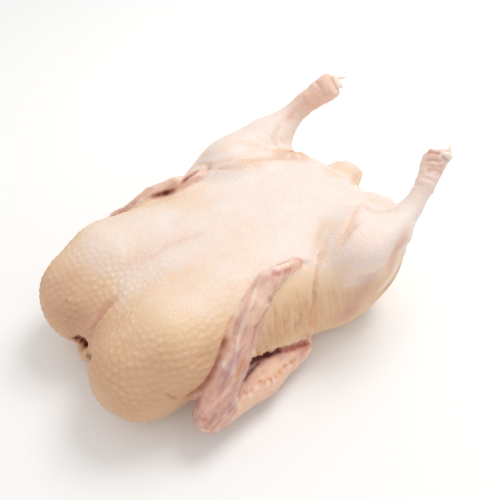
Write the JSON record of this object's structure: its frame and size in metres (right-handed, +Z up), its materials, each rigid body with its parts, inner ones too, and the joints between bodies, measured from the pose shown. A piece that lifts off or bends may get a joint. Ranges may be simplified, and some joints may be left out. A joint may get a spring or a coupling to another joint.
{
  "type": "whole raw duck",
  "caption": "Plucked and drawn raw duck on its back: a broad breast with a cleft at the cut neck, wings folded to the flanks, legs raised and cut at the hock, a stub tail.",
  "frame": {"origin": "on the table, under the middle of the duck's bounding box", "axes": "+X from the neck to the tail, +Y to the duck's left side, +Z up, with the breast up"},
  "size_m": [0.319, 0.2312, 0.1482],
  "materials": {
    "skin": "moist raw skin over fat, cream to pale pink, pimpled where the feathers were, pinker on the wings",
    "gristle": "wet ivory bone and tendon at the cut ends of the legs"
  },
  "bodies": {
    "root": {"duck": "skin"}
  },
  "joints": []
}
